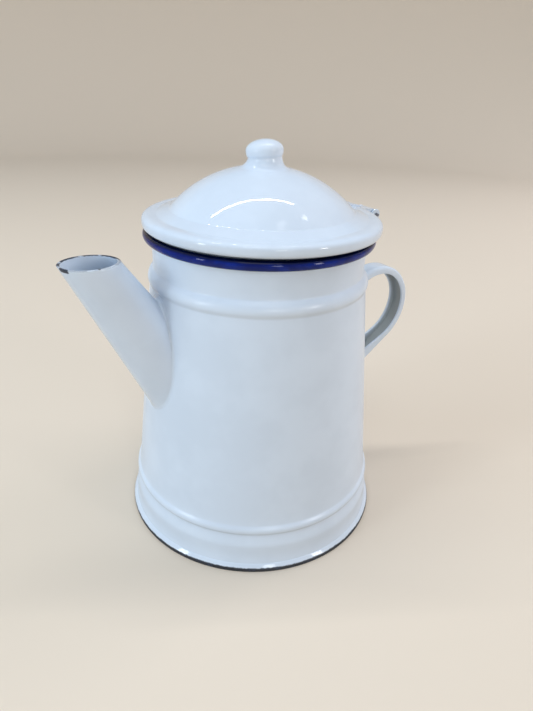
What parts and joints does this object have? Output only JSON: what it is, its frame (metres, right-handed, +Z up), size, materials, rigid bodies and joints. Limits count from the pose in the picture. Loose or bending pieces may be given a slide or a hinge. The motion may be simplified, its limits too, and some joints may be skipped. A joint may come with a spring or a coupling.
{
  "type": "coffee pot",
  "caption": "Enamelled steel coffee pot with tapered beaded body, conical side spout, strap handle and hinged domed lid with knob.",
  "frame": {"origin": "centre of the flat base, on the surface the pot stands on", "axes": "+Z up the body's axis, +X towards the handle and hinge, -X towards the spout"},
  "size_m": [0.1793, 0.126, 0.1751],
  "materials": {
    "enamel_white": "glossy vitreous enamel on steel",
    "pin_steel": "dark oxidised steel wire"
  },
  "bodies": {
    "pot": {"body_shell": "enamel_white", "base_disc": "enamel_white", "spout": "enamel_white", "handle": "enamel_white", "hinge_bracket": "enamel_white", "hinge_pin": "pin_steel"},
    "lid": {"lid_shell": "enamel_white", "lid_collar": "enamel_white", "knob": "enamel_white", "hinge_leaf": "enamel_white"}
  },
  "joints": [
    {"name": "lid_hinge", "type": "hinge", "parent": "pot", "child": "lid", "pos_m": [0.0614, 0, 0.1408], "axis": [0, 1, 0], "range_deg": [0, 105]}
  ]
}
